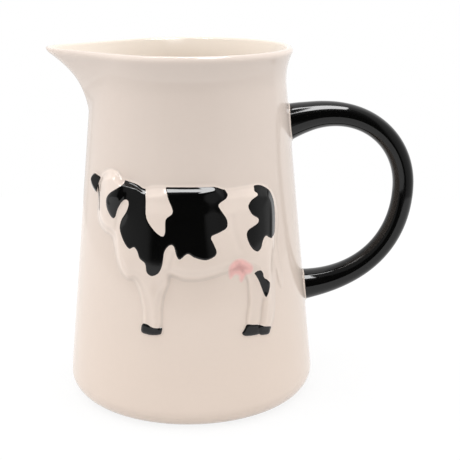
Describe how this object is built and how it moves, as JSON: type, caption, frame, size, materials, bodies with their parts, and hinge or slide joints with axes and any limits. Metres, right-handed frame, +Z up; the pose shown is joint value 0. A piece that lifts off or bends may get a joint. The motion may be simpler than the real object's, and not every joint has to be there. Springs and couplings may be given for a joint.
{
  "type": "earthenware jug",
  "caption": "Tapered glazed earthenware jug with a flared rim, a pulled pouring lip, a black loop handle and a standing black and white cow in relief on its front.",
  "frame": {"origin": "on the body's axis, at the plane of the foot ring that stands on the table", "axes": "+Z up along the body's axis, +X towards the handle, -X towards the pouring lip, -Y towards the side with the cow"},
  "size_m": [0.2107, 0.144, 0.2],
  "materials": {
    "cream_glaze": "glossy cream glaze over earthenware",
    "black_glaze": "glossy black glaze over earthenware",
    "pink_glaze": "glossy pink underglaze colour"
  },
  "bodies": {
    "root": {"jug_body": "cream_glaze", "handle": "black_glaze", "upper_handle_collar": "cream_glaze", "lower_handle_collar": "cream_glaze", "cow_figure": "cream_glaze", "cow_ear": "black_glaze", "cow_udder": "pink_glaze", "cow_hooves": "black_glaze", "cow_markings": "black_glaze"}
  },
  "joints": []
}
